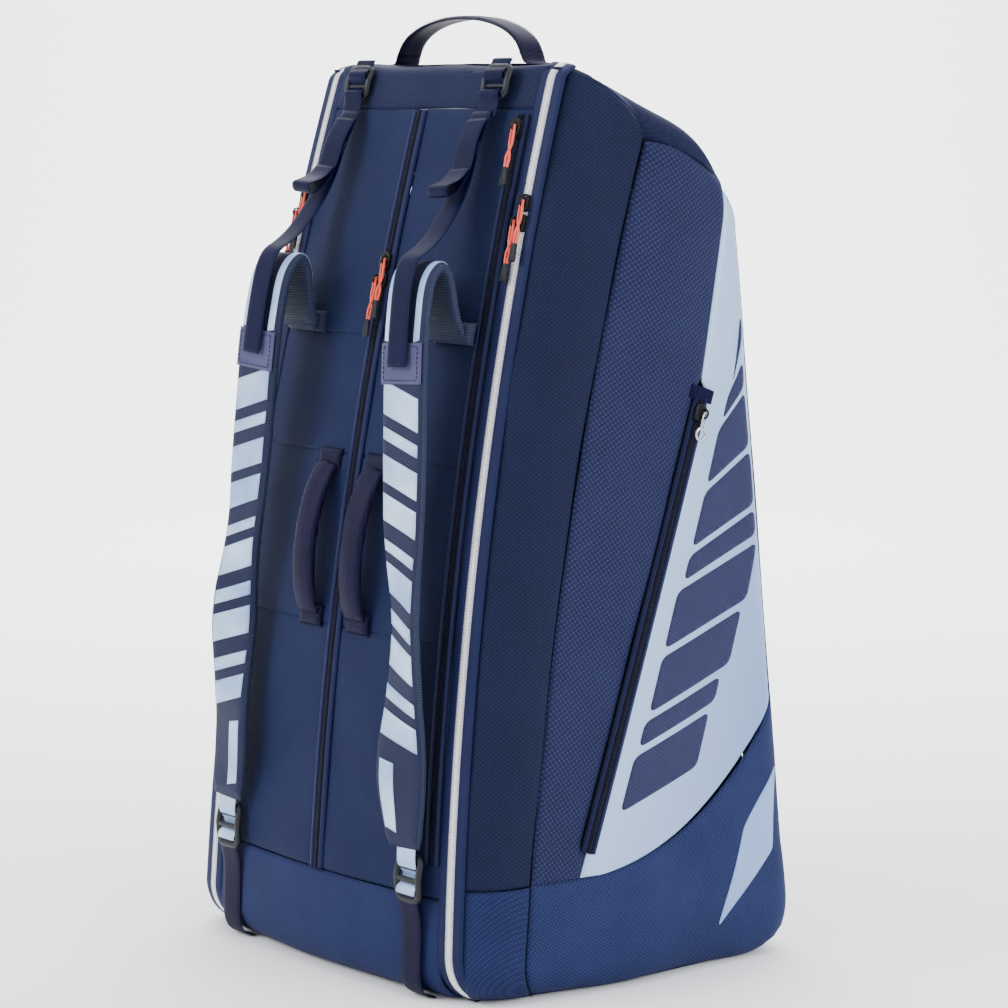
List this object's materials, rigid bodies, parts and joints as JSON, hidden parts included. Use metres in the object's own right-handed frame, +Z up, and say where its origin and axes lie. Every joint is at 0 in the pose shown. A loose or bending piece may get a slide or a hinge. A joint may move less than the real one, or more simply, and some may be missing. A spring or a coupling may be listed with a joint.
{
  "type": "racket tournament bag",
  "caption": "Standing racket tournament bag with three tall compartments, backpack straps, carry handles, white zips and a light blue side pocket.",
  "frame": {"origin": "middle of the bag's footprint box on the floor, at the base's resting face", "axes": "+Z up along the bag's height, -Y out of the spine panel that carries the shoulder straps, +X across the three compartments"},
  "size_m": [0.4464, 0.3642, 0.7899],
  "materials": {
    "fabric_navy": "woven polyester, matte",
    "fabric_navy_side": "coarse woven polyester, matte",
    "fabric_silver_blue": "satin coated, light blue",
    "strap_fabric": "printed face with ribbed mesh edges",
    "webbing_purple": "woven webbing",
    "lining_grey": "smooth lining",
    "zip_white": "white coil zip",
    "zip_navy": "dark coil zip",
    "lock_plastic": "moulded, slightly glossy",
    "slider_metal": "dark enamelled die casting",
    "pull_cord_red": "cord with moulded black tip",
    "ring_metal": "plated"
  },
  "bodies": {
    "core": {"right_spine_panel": "fabric_navy", "left_spine_panel": "fabric_navy", "top_yoke_panel": "fabric_navy", "middle_top_panel": "fabric_navy", "spine_boot_panel": "fabric_navy_side", "base_panel": "fabric_navy", "rear_panel": "fabric_navy", "divider_walls": "lining_grey", "white_zip_inner_tapes": "zip_white", "centre_zip": "zip_navy", "spine_pocket_zip": "zip_navy", "upper_ladder_locks": "lock_plastic", "lower_webbing_anchors": "webbing_purple", "anchor_tabs": "webbing_purple", "handle_band": "webbing_purple"},
    "right_shell": {"right_gusset": "fabric_navy", "right_side_panel": "fabric_navy_side", "right_pocket_panel": "fabric_silver_blue", "right_boot_panel": "fabric_navy_side", "right_shell_rear_panel": "fabric_navy", "right_shell_base_panel": "fabric_navy", "right_cap_panel": "fabric_navy", "right_white_zip_outer_tape": "zip_white", "right_pocket_zip_tape": "zip_navy"},
    "left_shell": {"left_gusset": "fabric_navy", "left_side_panel": "fabric_navy_side", "left_pocket_panel": "fabric_silver_blue", "left_boot_panel": "fabric_navy_side", "left_shell_rear_panel": "fabric_navy", "left_shell_base_panel": "fabric_navy", "left_cap_panel": "fabric_navy", "left_white_zip_outer_tape": "zip_white", "left_pocket_zip_tape": "zip_navy"},
    "right_zip_upper_slider": {"right_zip_upper_slider": "slider_metal"},
    "right_zip_upper_pull": {"right_zip_upper_pull": "pull_cord_red"},
    "right_zip_lower_slider": {"right_zip_lower_slider": "slider_metal"},
    "right_zip_lower_pull": {"right_zip_lower_pull": "pull_cord_red"},
    "left_zip_upper_slider": {"left_zip_upper_slider": "slider_metal"},
    "left_zip_upper_pull": {"left_zip_upper_pull": "pull_cord_red"},
    "left_zip_lower_slider": {"left_zip_lower_slider": "slider_metal"},
    "left_zip_lower_pull": {"left_zip_lower_pull": "pull_cord_red"},
    "centre_zip_upper_slider": {"centre_zip_upper_slider": "slider_metal"},
    "centre_zip_upper_pull": {"centre_zip_upper_pull": "pull_cord_red"},
    "centre_zip_lower_slider": {"centre_zip_lower_slider": "slider_metal"},
    "centre_zip_lower_pull": {"centre_zip_lower_pull": "pull_cord_red"},
    "spine_pocket_zip_slider": {"spine_pocket_zip_slider": "slider_metal"},
    "spine_pocket_zip_pull": {"spine_pocket_zip_pull": "pull_cord_red"},
    "right_pocket_zip_slider": {"right_pocket_zip_slider": "slider_metal"},
    "right_pocket_zip_pull": {"right_pocket_zip_pull": "ring_metal"},
    "left_pocket_zip_slider": {"left_pocket_zip_slider": "slider_metal"},
    "left_pocket_zip_pull": {"left_pocket_zip_pull": "ring_metal"},
    "top_handle": {"top_handle": "webbing_purple"},
    "right_carry_handle": {"right_carry_handle": "webbing_purple"},
    "left_carry_handle": {"left_carry_handle": "webbing_purple"},
    "right_strap": {"right_strap_pad": "strap_fabric", "right_strap_webbing": "webbing_purple", "right_strap_ladder_lock": "lock_plastic"},
    "left_strap": {"left_strap_pad": "strap_fabric", "left_strap_webbing": "webbing_purple", "left_strap_ladder_lock": "lock_plastic"}
  },
  "joints": [
    {"name": "right_shell_open", "type": "hinge", "parent": "core", "child": "right_shell", "pos_m": [0.16631, 0.1842, 0], "axis": [-0.0298, -0.1024, 0.9943], "range_deg": [0, 35]},
    {"name": "left_shell_open", "type": "hinge", "parent": "core", "child": "left_shell", "pos_m": [-0.16631, 0.1842, 0], "axis": [-0.0298, 0.1024, -0.9943], "range_deg": [0, 35]},
    {"name": "right_zip_upper_travel", "type": "hinge", "parent": "core", "child": "right_zip_upper_slider", "pos_m": [0.16911, 2.70193, -0.11], "axis": [-0.9996, 0, -0.03], "range_deg": [0, 1.81]},
    {"name": "right_zip_upper_pull_swing", "type": "hinge", "parent": "right_zip_upper_slider", "child": "right_zip_upper_pull", "pos_m": [0.14988, -0.07577, 0.64319], "axis": [-0.9996, -0.0076, -0.0279], "range_deg": [0, 150]},
    {"name": "right_zip_lower_travel", "type": "hinge", "parent": "core", "child": "right_zip_lower_slider", "pos_m": [0.16911, 2.70193, -0.11], "axis": [0.9996, 0, 0.03], "range_deg": [0, 11.4]},
    {"name": "right_zip_lower_pull_swing", "type": "hinge", "parent": "right_zip_lower_slider", "child": "right_zip_lower_pull", "pos_m": [0.14376, -0.08012, 0.62696], "axis": [-0.9996, -0.0074, -0.028], "range_deg": [0, 150]},
    {"name": "left_zip_upper_travel", "type": "hinge", "parent": "core", "child": "left_zip_upper_slider", "pos_m": [-0.16911, 2.70193, -0.11], "axis": [-0.9996, 0, 0.03], "range_deg": [0, 1.81]},
    {"name": "left_zip_upper_pull_swing", "type": "hinge", "parent": "left_zip_upper_slider", "child": "left_zip_upper_pull", "pos_m": [-0.14328, -0.07582, 0.643], "axis": [-0.9996, 0.0076, 0.0279], "range_deg": [0, 150]},
    {"name": "left_zip_lower_travel", "type": "hinge", "parent": "core", "child": "left_zip_lower_slider", "pos_m": [-0.16911, 2.70193, -0.11], "axis": [0.9996, 0, -0.03], "range_deg": [0, 11.4]},
    {"name": "left_zip_lower_pull_swing", "type": "hinge", "parent": "left_zip_lower_slider", "child": "left_zip_lower_pull", "pos_m": [-0.15036, -0.08007, 0.62714], "axis": [-0.9996, 0.0074, 0.028], "range_deg": [0, 150]},
    {"name": "centre_zip_upper_travel", "type": "hinge", "parent": "core", "child": "centre_zip_upper_slider", "pos_m": [0, 2.68893, -0.11], "axis": [-1, 0, 0], "range_deg": [0, 2.32]},
    {"name": "centre_zip_upper_pull_swing", "type": "hinge", "parent": "centre_zip_upper_slider", "child": "centre_zip_upper_pull", "pos_m": [0.0033, -0.10215, 0.59195], "axis": [-1, 0, 0], "range_deg": [0, 150]},
    {"name": "centre_zip_lower_travel", "type": "hinge", "parent": "core", "child": "centre_zip_lower_slider", "pos_m": [0, 2.68893, -0.11], "axis": [1, 0, 0], "range_deg": [0, 9.59]},
    {"name": "centre_zip_lower_pull_swing", "type": "hinge", "parent": "centre_zip_lower_slider", "child": "centre_zip_lower_pull", "pos_m": [-0.0033, -0.10614, 0.57591], "axis": [-1, 0, 0], "range_deg": [0, 150]},
    {"name": "spine_pocket_zip_travel", "type": "hinge", "parent": "core", "child": "spine_pocket_zip_slider", "pos_m": [0.14811, 2.69818, -0.11], "axis": [0.9996, 0, 0.03], "range_deg": [0, 2.54]},
    {"name": "spine_pocket_zip_pull_swing", "type": "hinge", "parent": "spine_pocket_zip_slider", "child": "spine_pocket_zip_pull", "pos_m": [0.12711, -0.06533, 0.70308], "axis": [-0.9996, -0.0081, -0.0276], "range_deg": [0, 150]},
    {"name": "right_pocket_zip_travel", "type": "slide", "parent": "right_shell", "child": "right_pocket_zip_slider", "axis": [-0.0118, -0.3075, -0.9515], "range_m": [0, 0.345]},
    {"name": "right_pocket_zip_pull_swing", "type": "hinge", "parent": "right_pocket_zip_slider", "child": "right_pocket_zip_pull", "pos_m": [0.22006, 0.06143, 0.4689], "axis": [0, -0.9515, 0.3075], "range_deg": [0, 150]},
    {"name": "left_pocket_zip_travel", "type": "slide", "parent": "left_shell", "child": "left_pocket_zip_slider", "axis": [0.0118, -0.3075, -0.9515], "range_m": [0, 0.345]},
    {"name": "left_pocket_zip_pull_swing", "type": "hinge", "parent": "left_pocket_zip_slider", "child": "left_pocket_zip_pull", "pos_m": [-0.22006, 0.06143, 0.4689], "axis": [0, 0.9515, -0.3075], "range_deg": [0, 150]},
    {"name": "top_handle_fold", "type": "hinge", "parent": "core", "child": "top_handle", "pos_m": [0, -0.0078, 0.75187], "axis": [1, 0, 0], "range_deg": [-20, 20]},
    {"name": "right_carry_handle_swing", "type": "hinge", "parent": "core", "child": "right_carry_handle", "pos_m": [0.032, -0.15281, 0.289], "axis": [0, 0.1638, 0.9865], "range_deg": [-20, 20]},
    {"name": "left_carry_handle_swing", "type": "hinge", "parent": "core", "child": "left_carry_handle", "pos_m": [-0.032, -0.15281, 0.289], "axis": [0, -0.1638, -0.9865], "range_deg": [-20, 20]},
    {"name": "right_strap_swing", "type": "hinge", "parent": "core", "child": "right_strap", "pos_m": [0.1256, -0.16603, 0.1], "axis": [-0.0612, 0.1433, 0.9878], "range_deg": [-10, 15]},
    {"name": "left_strap_swing", "type": "hinge", "parent": "core", "child": "left_strap", "pos_m": [-0.1256, -0.16603, 0.1], "axis": [-0.0612, -0.1433, -0.9878], "range_deg": [-10, 15]}
  ]
}
